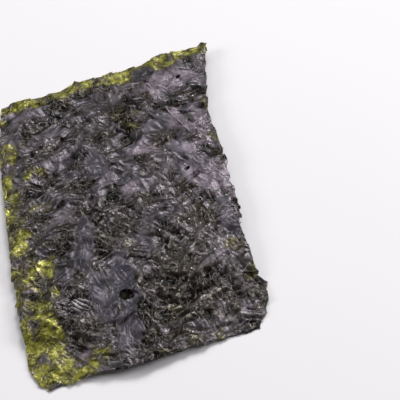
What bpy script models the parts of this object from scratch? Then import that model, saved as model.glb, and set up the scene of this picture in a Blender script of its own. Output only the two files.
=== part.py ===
"""A snack-size sheet of roasted nori: chopped red laver dried into a thin, crumpled, slightly arched leaf.

Run with: blender --background --factory-startup --python part.py

Frame: metres, +Z up. X runs across the sheet, Y along it. The origin is the centre of the sheet's box, on the
surface that the sheet lies on. The leaf touches that surface at three small flat spots: near both corners of
its lower end, and in the middle of its upper end.
"""

import bmesh
import bpy
import numpy as np

# --- Driving dimensions, in metres ----------------------------------------------------------------
SHEET_WIDTH = 0.054
SHEET_LENGTH = 0.086
SHEET_THICKNESS = 0.00045

# --- How the dried leaf stands off the table ------------------------------------------------------
ARCH_ALONG = 0.0017  # rise of the middle over the two ends
CUPPING = 0.0008  # the lower end is domed across by this much, and the upper end is hollow by as much
TWIST = 0.0003  # one diagonal stands higher than the other

# --- Crumpling: (cell size, height, seed) of each layer of noise ----------------------------------
SWELLS = ((0.0150, 0.00045, 11), (0.0078, 0.00028, 23))  # smooth waves, both faces together
CREASES = ((0.0052, 0.00034, 37), (0.0034, 0.00020, 41))  # sharp folds, both faces together
GRAIN = (0.0024, 0.00009, 53)  # upper face only
LEAST_THICKNESS = 0.00022

# --- Laver blades that lie on top, and the hollows between them, on the upper face ----------------
# Each is an ellipse: centre x, centre y, half length, half width, turn of its length from +X in degrees, rise.
BLADES = (
    (-0.0015, -0.0310, 0.0090, 0.0045, 78.0, 0.00026),
    (-0.0085, -0.0170, 0.0150, 0.0050, 80.0, 0.00022),
    (-0.0030, 0.0120, 0.0080, 0.0045, 105.0, 0.00024),
    (0.0195, 0.0385, 0.0150, 0.0070, 152.0, 0.00028),
    (0.0195, 0.0030, 0.0120, 0.0048, 108.0, 0.00028),
    (0.0238, -0.0125, 0.0060, 0.0036, 110.0, 0.00020),
    (0.0183, -0.0238, 0.0062, 0.0016, 24.0, 0.00034),
    (-0.0215, 0.0345, 0.0060, 0.0055, 5.0, 0.00028),
    (-0.0120, 0.0290, 0.0075, 0.0032, 20.0, 0.00022),
    (0.0090, -0.0060, 0.0070, 0.0038, 60.0, 0.00020),
    (-0.0215, -0.0330, 0.0080, 0.0040, 95.0, 0.00024),
    (0.0180, -0.0370, 0.0085, 0.0036, 170.0, 0.00026),
)
HOLLOWS = (
    (-0.0014, -0.0275, 0.0023, 0.0018, 160.0, -0.00060),
    (-0.0043, -0.0066, 0.0013, 0.0010, 60.0, -0.00032),
    (-0.0203, 0.0227, 0.0015, 0.0012, 100.0, -0.00036),
    (0.0081, -0.0286, 0.0110, 0.0045, 75.0, -0.00026),
    (-0.0170, 0.0080, 0.0060, 0.0030, 120.0, -0.00024),
    (0.0060, 0.0260, 0.0065, 0.0035, 165.0, -0.00022),
)
RIM_SHARE = 0.32  # part of an ellipse's radius over which it rises
RIM_RAGGEDNESS = 0.35  # how far an ellipse's rim strays, as a share of its radius
RIM_CELL = 0.0040
RIM_SEED = 67

# --- Flat spots that the leaf rests on ------------------------------------------------------------
# Their tips as columns and rows of the grid. Each spot is a corner of the triangle that joins the three tips.
REST_TIPS = ((3, 3), (32, 3), (18, 53))
REST_FLAT_RADIUS = 0.0046
REST_BLEND_RADIUS = 0.0130
REST_CLEARANCE = 0.00006  # everything else stays at least this far above the table

# --- Outline: how far each edge lies inside the nominal rectangle ---------------------------------
# Pairs of (place along the edge, inset). A place runs from -1 to 1 over the edge's half length.
LEFT_INSETS = (
    (-1.00, 0.0042), (-0.94, 0.0020), (-0.86, 0.0006), (-0.28, -0.0003), (0.60, -0.0005), (1.00, 0.0010),
)
RIGHT_INSETS = (
    (-1.00, 0.0022), (-0.93, 0.0000), (-0.83, -0.0011), (-0.66, 0.0000), (-0.55, 0.0000), (-0.40, 0.0010),
    (-0.30, -0.0001), (-0.10, 0.0005), (0.20, 0.0005), (0.45, 0.0013), (0.80, -0.0004), (1.00, -0.0022),
)
BOTTOM_INSETS = (
    (-1.00, -0.0003), (-0.60, 0.0002), (-0.42, -0.0003), (-0.22, -0.0012), (0.04, -0.0009), (0.22, 0.0000),
    (0.80, 0.0005), (1.00, 0.0015),
)
TOP_INSETS = (
    (-1.00, 0.0018), (-0.88, 0.0005), (-0.66, 0.0013), (-0.18, -0.0011), (0.20, -0.0006), (0.36, 0.0004),
    (0.52, -0.0006), (0.80, 0.0001), (1.00, 0.0007),
)
EDGE_RAGGEDNESS = 0.00022
EDGE_RAG_CELL = 0.0021
EDGE_RAG_SEED = 71

# --- Fineness -------------------------------------------------------------------------------------
COLUMNS = 35
ROWS = 56
LATTICE = 64  # noise repeats after this many cells
ON_LINE = 1e-9  # square metres: twice the area by which a point on a triangle's side may seem to miss it

# --- Finish ---------------------------------------------------------------------------------------
NORI_COLOUR = (0.028, 0.030, 0.020, 1.0)
NORI_ROUGHNESS = 0.45
NORI_METALLIC = 0.0
SHARPEST_SMOOTH_ANGLE = 50.0  # degrees; steeper turns, as at the cut edge, shade as sharp


def clear_scene():
    """Removes whatever the start-up file brought."""
    for obj in list(bpy.data.objects):
        bpy.data.objects.remove(obj, do_unlink=True)


def smooth_step(t):
    """3t^2 - 2t^3 on 0..1."""
    t = np.clip(t, 0.0, 1.0)
    return t * t * (3.0 - 2.0 * t)


def smooth_noise(x, y, cell, seed):
    """Noise from -1 to 1: seeded values on a square lattice, joined by smooth steps.

    The seed also turns the lattice, so that no two layers line up.
    """
    values = np.random.default_rng(seed).uniform(-1.0, 1.0, (LATTICE, LATTICE))
    gx = (x * np.cos(seed) - y * np.sin(seed)) / cell
    gy = (x * np.sin(seed) + y * np.cos(seed)) / cell
    column = np.floor(gx).astype(int)
    row = np.floor(gy).astype(int)
    tx = smooth_step(gx - column)
    ty = smooth_step(gy - row)
    left, right = column % LATTICE, (column + 1) % LATTICE
    low, high = row % LATTICE, (row + 1) % LATTICE
    below = values[low, left] * (1 - tx) + values[low, right] * tx
    above = values[high, left] * (1 - tx) + values[high, right] * tx
    return below * (1 - ty) + above * ty


def waves(x, y, layers):
    """The sum of several layers of smooth noise, each (cell, height, seed)."""
    return sum(height * smooth_noise(x, y, cell, seed) for cell, height, seed in layers)


def folds(x, y, layers):
    """The same with a sharp crest wherever the noise crosses zero, from -1 to 1 times each layer's height."""
    return sum(height * (1.0 - 2.6 * np.abs(smooth_noise(x, y, cell, seed))) for cell, height, seed in layers)


def patches(x, y, ellipses):
    """The rises of ragged, flat-topped ellipses, added up."""
    stray = 1.0 + RIM_RAGGEDNESS * smooth_noise(x, y, RIM_CELL, RIM_SEED)
    total = np.zeros_like(x)
    for centre_x, centre_y, half_length, half_width, turn, rise in ellipses:
        cosine, sine = np.cos(np.radians(turn)), np.sin(np.radians(turn))
        along = ((x - centre_x) * cosine + (y - centre_y) * sine) / half_length
        across = ((y - centre_y) * cosine - (x - centre_x) * sine) / half_width
        total = total + rise * smooth_step((stray - np.hypot(along, across)) / RIM_SHARE)
    return total


def inset_at(place, table, half_length, lane):
    """The inset of one edge at places from -1 to 1: the table's smooth curve plus a ragged cut."""
    places, insets = np.array(table).T
    right = np.clip(np.searchsorted(places, place), 1, len(places) - 1)
    left = right - 1
    t = smooth_step((place - places[left]) / (places[right] - places[left]))
    curve = insets[left] * (1 - t) + insets[right] * t
    along = place * half_length
    rag = smooth_noise(along, np.full_like(along, lane * EDGE_RAG_CELL), EDGE_RAG_CELL, EDGE_RAG_SEED)
    return curve + EDGE_RAGGEDNESS * rag


def place_on_sheet(u, v):
    """Plan position of the point (u, v), each from -1 to 1: the rectangle with its four edges moved in by their
    insets. Each edge's move fades out linearly towards the opposite edge."""
    half_width, half_length = SHEET_WIDTH / 2, SHEET_LENGTH / 2
    from_left, from_right = (1 - u) / 2, (1 + u) / 2
    from_bottom, from_top = (1 - v) / 2, (1 + v) / 2
    x = u * half_width
    x = x + from_left * inset_at(v, LEFT_INSETS, half_length, 0)
    x = x - from_right * inset_at(v, RIGHT_INSETS, half_length, 6)
    y = v * half_length
    y = y + from_bottom * inset_at(u, BOTTOM_INSETS, half_width, 12)
    y = y - from_top * inset_at(u, TOP_INSETS, half_width, 18)
    return x, y


def rest_tips():
    """Plan positions of the three tips, counterclockwise."""
    steps = np.array(REST_TIPS) / (COLUMNS, ROWS)
    return np.stack(place_on_sheet(2 * steps[:, 0] - 1, 2 * steps[:, 1] - 1), axis=1)


def rest_share(x, y, tips):
    """1 within the flat radius of a tip, 0 beyond its blend radius, smooth between."""
    share = np.zeros_like(x)
    for tip_x, tip_y in tips:
        fade = (REST_BLEND_RADIUS - np.hypot(x - tip_x, y - tip_y)) / (REST_BLEND_RADIUS - REST_FLAT_RADIUS)
        share = np.maximum(share, smooth_step(fade))
    return share


def inside_triangle(x, y, corners):
    """Which points lie in a counterclockwise triangle or on its outline."""
    inside = np.ones(x.shape, bool)
    for (from_x, from_y), (to_x, to_y) in zip(corners, np.roll(corners, -1, axis=0)):
        turn = (to_x - from_x) * (y - from_y) - (to_y - from_y) * (x - from_x)
        inside &= turn >= -ON_LINE
    return inside


def middle_height(x, y, resting):
    """Height of the leaf's middle layer: an arch along it, a dome across its lower end that turns into a hollow at
    its upper end, a twist and the crumpling, all brought down onto the table round each tip."""
    u = x / (SHEET_WIDTH / 2)
    v = y / (SHEET_LENGTH / 2)
    across = (1 - v) / 2 * (1 - u**2) + (1 + v) / 2 * u**2
    crumple = waves(x, y, SWELLS) + folds(x, y, CREASES) + SWELLS[0][1]
    height = ARCH_ALONG * (1 - v**2) + CUPPING * across + TWIST * (1 + u * v) / 2 + crumple
    return SHEET_THICKNESS / 2 + height * (1 - resting)


def face_heights(x, y):
    """Heights of the lower and the upper face. Only the flat spots touch the table, and the leaf is never too
    thin."""
    tips = rest_tips()
    resting = rest_share(x, y, tips)
    middle = middle_height(x, y, resting)
    lower = np.maximum(middle - SHEET_THICKNESS / 2, REST_CLEARANCE)
    lower[(resting == 1.0) & inside_triangle(x, y, tips)] = 0.0
    relief = patches(x, y, BLADES + HOLLOWS) + waves(x, y, (GRAIN,))
    upper = middle + SHEET_THICKNESS / 2 + relief
    return lower, np.maximum(upper, lower + LEAST_THICKNESS)


def nori_material():
    """Almost black green, with the low gloss of roasted laver."""
    material = bpy.data.materials.new("roasted_laver")
    material.use_nodes = True
    shader = material.node_tree.nodes["Principled BSDF"]
    shader.inputs["Base Color"].default_value = NORI_COLOUR
    shader.inputs["Roughness"].default_value = NORI_ROUGHNESS
    shader.inputs["Metallic"].default_value = NORI_METALLIC
    material.diffuse_color = NORI_COLOUR
    return material


def build_sheet():
    """One closed leaf: a grid split into triangles, extruded so that both faces match, and laid to the
    outline."""
    bm = bmesh.new()
    bmesh.ops.create_grid(bm, x_segments=COLUMNS, y_segments=ROWS, size=1.0)
    bmesh.ops.triangulate(bm, faces=bm.faces[:], quad_method="ALTERNATE")
    lower_verts = bm.verts[:]
    plan = np.array([vert.co[:2] for vert in lower_verts])
    extruded = bmesh.ops.extrude_face_region(bm, geom=bm.faces[:], use_keep_orig=True)
    upper_verts = [item for item in extruded["geom"] if isinstance(item, bmesh.types.BMVert)]
    upper_plan = np.array([vert.co[:2] for vert in upper_verts])

    for verts, points, face in ((lower_verts, plan, 0), (upper_verts, upper_plan, 1)):
        x, y = place_on_sheet(points[:, 0], points[:, 1])
        z = face_heights(x, y)[face]
        for vert, position in zip(verts, np.stack([x, y, z], axis=1)):
            vert.co = position

    corners = np.array([vert.co for vert in bm.verts])
    centre = (corners.min(axis=0) + corners.max(axis=0)) / 2
    bmesh.ops.translate(bm, verts=bm.verts[:], vec=(-centre[0], -centre[1], 0.0))
    bmesh.ops.recalc_face_normals(bm, faces=bm.faces[:])

    mesh = bpy.data.meshes.new("nori_sheet")
    bm.to_mesh(mesh)
    bm.free()
    mesh.materials.append(nori_material())
    mesh.shade_smooth()
    mesh.set_sharp_from_angle(angle=np.radians(SHARPEST_SMOOTH_ANGLE))
    sheet = bpy.data.objects.new("nori_sheet", mesh)
    bpy.context.scene.collection.objects.link(sheet)
    return sheet


clear_scene()
build_sheet()
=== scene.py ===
"""Looks of a snack-size sheet of roasted nori: a crumpled felt of laver with thin blades, rolled threads and
salt on it.

Frame: metres, +Z up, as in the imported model. X runs across the sheet and Y along it. "Sheet places" are
places before the sheet is centred on its box: x from -27 to 27 mm and y from -43 to 43 mm.
"""

from __future__ import annotations

import functools
import logging
import math
from collections.abc import Callable
from dataclasses import dataclass, field
from enum import Enum

import bpy
import numpy as np
from mathutils import Matrix, Vector


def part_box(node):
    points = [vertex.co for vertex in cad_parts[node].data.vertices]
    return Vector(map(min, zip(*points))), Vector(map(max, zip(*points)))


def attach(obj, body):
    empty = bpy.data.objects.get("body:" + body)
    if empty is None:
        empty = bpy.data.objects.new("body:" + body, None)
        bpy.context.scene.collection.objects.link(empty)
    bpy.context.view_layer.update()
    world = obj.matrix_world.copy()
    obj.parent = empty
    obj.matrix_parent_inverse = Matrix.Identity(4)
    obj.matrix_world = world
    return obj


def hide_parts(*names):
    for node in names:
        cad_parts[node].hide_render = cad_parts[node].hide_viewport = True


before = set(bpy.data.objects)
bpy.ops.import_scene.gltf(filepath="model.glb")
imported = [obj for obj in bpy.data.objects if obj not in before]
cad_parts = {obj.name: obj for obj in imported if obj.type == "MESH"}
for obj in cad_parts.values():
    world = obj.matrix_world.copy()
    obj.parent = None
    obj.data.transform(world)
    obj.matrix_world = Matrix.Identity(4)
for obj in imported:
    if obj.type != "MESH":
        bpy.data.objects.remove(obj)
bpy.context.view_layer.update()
CAD_NODE = "nori_sheet"
BODY = "root"

Array = np.ndarray
Random = np.random.Generator
Pair = tuple[float, float]
Rows = tuple[tuple[float, ...], ...]
Material = bpy.types.Material
NodeTree = bpy.types.NodeTree
LOG = logging.getLogger("nori")
MM = 0.001
LATTICE = 64
CREST_SHARPNESS = 2.6
DRIFT_CELL = 0.011
DRIFT_TURN = 1.9 * math.pi
INNER_SHARE = 0.97


def smooth_step(t: Array) -> Array:
    """3t^2 - 2t^3 on 0..1."""
    t = np.clip(t, 0.0, 1.0)
    return t * t * (3.0 - 2.0 * t)


def axes(x: Array, y: Array, degrees: float) -> tuple[Array, Array]:
    """The same places along and across an axis that is turned from +X."""
    cosine, sine = math.cos(math.radians(degrees)), math.sin(math.radians(degrees))
    return x * cosine + y * sine, y * cosine - x * sine


def turned(x: Array | float, y: Array | float, turn: Array, s: Array, t: Array) -> tuple[Array, Array]:
    """Places s along and t across an axis that starts at (x, y) and is turned from +X, in radians."""
    return x + s * np.cos(turn) - t * np.sin(turn), y + s * np.sin(turn) + t * np.cos(turn)


def for_each(values: Array) -> Array:
    """One value for each blade, ready to meet its rings and spokes."""
    return np.asarray(values)[:, None, None]


@functools.lru_cache(maxsize=None)
def lattice_values(seed: int) -> Array:
    """The seeded values, from -1 to 1, that one noise joins up."""
    return np.random.default_rng(seed).uniform(-1.0, 1.0, (LATTICE, LATTICE))


@dataclass(frozen=True)
class Noise:
    """Smooth seeded noise over the sheet. The seed also turns its lattice, so that no two noises line up,
    unless the noise is level: then a stretch along one axis stays a stretch."""

    cell: float
    height: float
    seed: int
    level: bool = False

    def value(self, x: Array, y: Array) -> Array:
        """From -1 to 1: the four nearest lattice values, joined by smooth steps.

        Args:
            x: sheet places across.
            y: sheet places along.

        Returns:
            One value for each place.
        """
        values = lattice_values(self.seed)
        turn = 0.0 if self.level else self.seed
        gx = (x * math.cos(turn) - y * math.sin(turn)) / self.cell
        gy = (x * math.sin(turn) + y * math.cos(turn)) / self.cell
        column = np.floor(gx).astype(int)
        row = np.floor(gy).astype(int)
        tx = smooth_step(gx - column)
        ty = smooth_step(gy - row)
        left, right = column % LATTICE, (column + 1) % LATTICE
        low, high = row % LATTICE, (row + 1) % LATTICE
        below = values[low, left] * (1 - tx) + values[low, right] * tx
        above = values[high, left] * (1 - tx) + values[high, right] * tx
        return below * (1 - ty) + above * ty

    def wave(self, x: Array, y: Array) -> Array:
        """Smooth swells of this noise's height."""
        return self.height * self.value(x, y)

    def fold(self, x: Array, y: Array) -> Array:
        """Sharp crests of this noise's height, wherever the noise crosses zero."""
        return self.height * (1.0 - CREST_SHARPNESS * np.abs(self.value(x, y)))

    def mask(self, x: Array, y: Array, threshold: float, soft: float) -> Array:
        """0 below the threshold and 1 above it, with a soft step between."""
        return smooth_step((self.value(x, y) - threshold) / soft + 0.5)


@dataclass(frozen=True)
class Patch:
    """A ragged, flat-topped ellipse on the sheet, in metres, with its length turned from +X in degrees. Its
    rise is a height, or the strength of a zone, from 0 to about 1."""

    x: float
    y: float
    half_length: float
    half_width: float
    turn: float
    rise: float

    def share(self, x: Array, y: Array, stray: Array, rim: float) -> Array:
        """1 well inside the ellipse and 0 outside, with a rim of the given share of its radius."""
        along, across = axes(x - self.x, y - self.y, self.turn)
        return smooth_step((stray - np.hypot(along / self.half_length, across / self.half_width)) / rim)


Patches = tuple[Patch, ...]


def patches_mm(*rows: tuple[float, ...]) -> Patches:
    """Patches from rows of x, y, half length, half width in mm, turn in degrees, and rise in thousandths."""
    return tuple(Patch(*(v * MM for v in row[:4]), row[4], row[5] * MM) for row in rows)


@dataclass(frozen=True)
class SheetForm:
    """The solid's own form: outline, arch, crumpling, laver blades that stand proud, and hollows between."""

    width: float = 0.054
    length: float = 0.086
    thickness: float = 0.00045
    least_thickness: float = 0.00022
    columns: int = 35
    rows: int = 56
    arch_along: float = 0.0017
    cupping: float = 0.0008
    twist: float = 0.0003
    swells: tuple[Noise, ...] = (Noise(0.0150, 0.00045, 11), Noise(0.0078, 0.00028, 23))
    creases: tuple[Noise, ...] = (Noise(0.0052, 0.00034, 37), Noise(0.0034, 0.00020, 41))
    grain: Noise = Noise(0.0024, 0.00009, 53)
    blades: Patches = patches_mm(
        (-1.5, -31, 9, 4.5, 78, 0.26), (-8.5, -17, 15, 5, 80, 0.22), (-3, 12, 8, 4.5, 105, 0.24),
        (19.5, 38.5, 15, 7, 152, 0.28), (19.5, 3, 12, 4.8, 108, 0.28), (23.8, -12.5, 6, 3.6, 110, 0.20),
        (18.3, -23.8, 6.2, 1.6, 24, 0.34), (-21.5, 34.5, 6, 5.5, 5, 0.28), (-12, 29, 7.5, 3.2, 20, 0.22),
        (9, -6, 7, 3.8, 60, 0.20), (-21.5, -33, 8, 4, 95, 0.24), (18, -37, 8.5, 3.6, 170, 0.26),
    )
    hollows: Patches = patches_mm(
        (-1.4, -27.5, 2.3, 1.8, 160, -0.60), (-4.3, -6.6, 1.3, 1, 60, -0.32),
        (-20.3, 22.7, 1.5, 1.2, 100, -0.36), (8.1, -28.6, 11, 4.5, 75, -0.26), (-17, 8, 6, 3, 120, -0.24),
        (6, 26, 6.5, 3.5, 165, -0.22),
    )
    rim_share: float = 0.32
    rim_stray: Noise = Noise(0.0040, 0.35, 67)
    rest_tips: tuple[tuple[int, int], ...] = ((3, 3), (32, 3), (18, 53))
    rest_flat_radius: float = 0.0046
    rest_blend_radius: float = 0.0130
    rest_clearance: float = 0.00006
    left_insets: tuple[Pair, ...] = (
        (-1, 4.2), (-0.94, 2), (-0.86, 0.6), (-0.28, -0.3), (0.60, -0.5), (1, 1),
    )
    right_insets: tuple[Pair, ...] = (
        (-1, 2.2), (-0.93, 0), (-0.83, -1.1), (-0.66, 0), (-0.55, 0), (-0.40, 1), (-0.30, -0.1),
        (-0.10, 0.5), (0.20, 0.5), (0.45, 1.3), (0.80, -0.4), (1, -2.2),
    )
    bottom_insets: tuple[Pair, ...] = (
        (-1, -0.3), (-0.60, 0.2), (-0.42, -0.3), (-0.22, -1.2), (0.04, -0.9), (0.22, 0), (0.80, 0.5),
        (1, 1.5),
    )
    top_insets: tuple[Pair, ...] = (
        (-1, 1.8), (-0.88, 0.5), (-0.66, 1.3), (-0.18, -1.1), (0.20, -0.6), (0.36, 0.4), (0.52, -0.6),
        (0.80, 0.1), (1, 0.7),
    )
    edge_rag: Noise = Noise(0.0021, 0.00022, 71)
    rag_lanes: tuple[int, ...] = (0, 6, 12, 18)

    def inset(self, place: Array, table: tuple[Pair, ...], half: float, lane: int) -> Array:
        """How far one edge lies inside the nominal rectangle: the table's smooth curve plus a ragged cut.

        Args:
            place: places from -1 to 1 along the edge.
            table: pairs of place and inset in mm.
            half: half the edge's nominal length.
            lane: which row of the rag noise this edge reads.

        Returns:
            One inset for each place, in metres.
        """
        places, insets = np.array(table).T
        right = np.clip(np.searchsorted(places, place), 1, len(places) - 1)
        left = right - 1
        t = smooth_step((place - places[left]) / (places[right] - places[left]))
        curve = (insets[left] * (1 - t) + insets[right] * t) * MM
        return curve + self.edge_rag.wave(place * half, np.full_like(place, lane * self.edge_rag.cell))

    def plan(self, u: Array, v: Array) -> tuple[Array, Array]:
        """Sheet places of (u, v), each from -1 to 1: the rectangle with each edge moved in by its inset."""
        half_width, half_length = self.width / 2, self.length / 2
        left, right, bottom, top = self.rag_lanes
        x = u * half_width + (1 - u) / 2 * self.inset(v, self.left_insets, half_length, left)
        x = x - (1 + u) / 2 * self.inset(v, self.right_insets, half_length, right)
        y = v * half_length + (1 - v) / 2 * self.inset(u, self.bottom_insets, half_width, bottom)
        y = y - (1 + v) / 2 * self.inset(u, self.top_insets, half_width, top)
        return x, y

    def tips(self) -> Array:
        """Sheet places of the three tips of the triangle that the leaf rests on, counterclockwise."""
        steps = np.array(self.rest_tips) / (self.columns, self.rows)
        return np.stack(self.plan(2 * steps[:, 0] - 1, 2 * steps[:, 1] - 1), axis=1)

    def centre(self) -> Array:
        """The sheet place of the solid's box centre: halfway between the extremes of its own coarse grid."""
        u, v = np.meshgrid(np.linspace(-1, 1, self.columns + 1), np.linspace(-1, 1, self.rows + 1))
        places = np.stack(self.plan(u, v), axis=-1).reshape(-1, 2)
        return (places.min(axis=0) + places.max(axis=0)) / 2

    def resting(self, x: Array, y: Array) -> Array:
        """1 within the flat radius of a tip, 0 beyond its blend radius, smooth between."""
        share = np.zeros_like(x)
        for tip_x, tip_y in self.tips():
            fade = self.rest_blend_radius - np.hypot(x - tip_x, y - tip_y)
            share = np.maximum(share, smooth_step(fade / (self.rest_blend_radius - self.rest_flat_radius)))
        return share

    def middle(self, x: Array, y: Array) -> Array:
        """Height of the middle layer: an arch along it, a dome across its lower end that turns into a hollow
        at its upper end, a twist and the crumpling, all brought down onto the table round each tip."""
        u, v = x / (self.width / 2), y / (self.length / 2)
        across = (1 - v) / 2 * (1 - u**2) + (1 + v) / 2 * u**2
        crumple = sum(n.wave(x, y) for n in self.swells) + sum(n.fold(x, y) for n in self.creases)
        height = self.arch_along * (1 - v**2) + self.cupping * across + self.twist * (1 + u * v) / 2
        return self.thickness / 2 + (height + crumple + self.swells[0].height) * (1 - self.resting(x, y))

    def relief(self, x: Array, y: Array) -> Array:
        """What the upper face adds to the middle layer's form: standing blades, hollows and grain."""
        stray = 1.0 + self.rim_stray.wave(x, y)
        total = self.grain.wave(x, y)
        for patch in self.blades + self.hollows:
            total = total + patch.rise * patch.share(x, y, stray, self.rim_share)
        return total

    def lower(self, x: Array, y: Array) -> Array:
        """Height of the lower face, which touches the table only at its flat spots."""
        raised = np.maximum(self.middle(x, y) - self.thickness / 2, self.rest_clearance)
        return np.where(self.resting(x, y) == 1.0, 0.0, raised)

    def upper(self, x: Array, y: Array) -> Array:
        """Height of the upper face."""
        raised = self.middle(x, y) + self.thickness / 2 + self.relief(x, y)
        return np.maximum(raised, self.lower(x, y) + self.least_thickness)


@dataclass(frozen=True)
class Crease:
    """A long fold: a ridge, or a groove where its rise is negative, from one sheet place to another."""

    start: Pair
    end: Pair
    half_width: float
    rise: float

    def height(self, x: Array, y: Array) -> Array:
        """The rise times a bell curve over the distance from the line."""
        run_x, run_y = self.end[0] - self.start[0], self.end[1] - self.start[1]
        share = ((x - self.start[0]) * run_x + (y - self.start[1]) * run_y) / (run_x**2 + run_y**2)
        share = np.clip(share, 0.0, 1.0)
        away = np.hypot(x - self.start[0] - share * run_x, y - self.start[1] - share * run_y)
        return self.rise * np.exp(-((away / self.half_width) ** 2))


def creases_mm(*rows: tuple[float, ...]) -> tuple[Crease, ...]:
    """Creases from rows of x and y of each end, half width and rise, all in mm."""
    return tuple(Crease((r[0] * MM, r[1] * MM), (r[2] * MM, r[3] * MM), r[4] * MM, r[5] * MM) for r in rows)


@dataclass(frozen=True)
class Crinkle:
    """The fine wrinkles of dried laver: streaks that run in bundles, and small folds between them."""

    warps: tuple[Pair, ...] = ((0.0060, 0.0010), (0.0016, 0.00016))
    streaks: tuple[tuple[float, float, float], ...] = ((0.00095, 0.00023, 5.0), (0.0027, 0.00030, 3.6))
    directions: tuple[float, ...] = (132.0, 112.0, 155.0, 22.0)
    warp_seeds: tuple[int, int] = (181, 185)
    bundle_cell: float = 0.0075
    bundle_seed: int = 191
    bundle_edge: Pair = (0.15, 0.5)
    streak_seed: int = 197
    first_weight: float = 0.001
    least_weight: float = 0.6
    crease_bend: float = 0.5
    folds: tuple[Noise, ...] = (Noise(0.00160, 0.00006, 211), Noise(0.00085, 0.00004, 223))
    vigour: Noise = Noise(0.0060, 0.45, 229)
    creases: tuple[Crease, ...] = creases_mm(
        (6.5, 38, 16, 33, 0.35, 0.30), (16, 33, 25.9, 28.1, 0.35, 0.32),
        (-26.5, 30.4, -18.4, 30.6, 0.3, 0.3), (13.2, -26.2, 23.4, -21.5, 0.45, 0.30),
        (8.5, 29.5, 15.5, 17, 0.4, -0.28), (15.5, 17, 18.5, 6, 0.4, -0.3), (-9.5, 22, -2, 17.5, 0.3, 0.22),
        (-3.5, 20.5, 2.5, 10, 0.3, 0.22), (6, 21, 3, 13, 0.35, -0.22), (-24, -3, -14, -4.5, 0.3, 0.24),
        (10, -34, 22.5, -30.5, 0.4, 0.24), (-14, -38.5, -4, -40.5, 0.3, 0.22),
        (18.5, 2, 24.5, -13, 0.35, -0.25), (-12.5, -11.5, -11, -20.5, 0.3, -0.2),
        (11.8, 35.6, 13.2, 31.4, 0.6, 0.26), (13.6, 31.8, 15.9, 27.6, 0.8, 0.28),
        (15.2, 27.4, 17.8, 23.2, 0.7, 0.26), (17.4, 22.2, 19, 18, 0.9, 0.28),
        (19.6, 18.6, 21.4, 13.5, 0.7, 0.30), (5.9, 37.8, 11, 36.9, 0.5, 0.22),
    )

    def height(self, x: Array, y: Array) -> Array:
        """Ridged noise, stretched along one of a few directions from place to place, on warped places.

        Args:
            x: sheet places across.
            y: sheet places along.

        Returns:
            Height over the smooth form, from about -0.6 to 0.4 mm.
        """
        shift_x, shift_y = (
            sum(reach * Noise(cell, 1.0, seed + i).value(x, y) for i, (cell, reach) in enumerate(self.warps))
            for seed in self.warp_seeds
        )
        x_warped, y_warped = x + shift_x, y + shift_y
        total = np.zeros_like(x)
        weights = np.full_like(x, self.first_weight)
        for index, direction in enumerate(self.directions):
            along, across = axes(x_warped, y_warped, direction)
            weight = Noise(self.bundle_cell, 1.0, self.bundle_seed + index).mask(x, y, *self.bundle_edge)
            weights = weights + weight
            for cell, rise, stretch in self.streaks:
                streak = Noise(cell, rise, self.streak_seed + index, level=True)
                total = total + weight * streak.fold(along / stretch, across)
        fine = total / np.maximum(weights, self.least_weight)
        fine = fine + sum(n.fold(x_warped, y_warped) for n in self.folds)
        bent_x, bent_y = x + self.crease_bend * shift_x, y + self.crease_bend * shift_y
        return fine * (1 + self.vigour.wave(x, y)) + sum(c.height(bent_x, bent_y) for c in self.creases)


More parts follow.
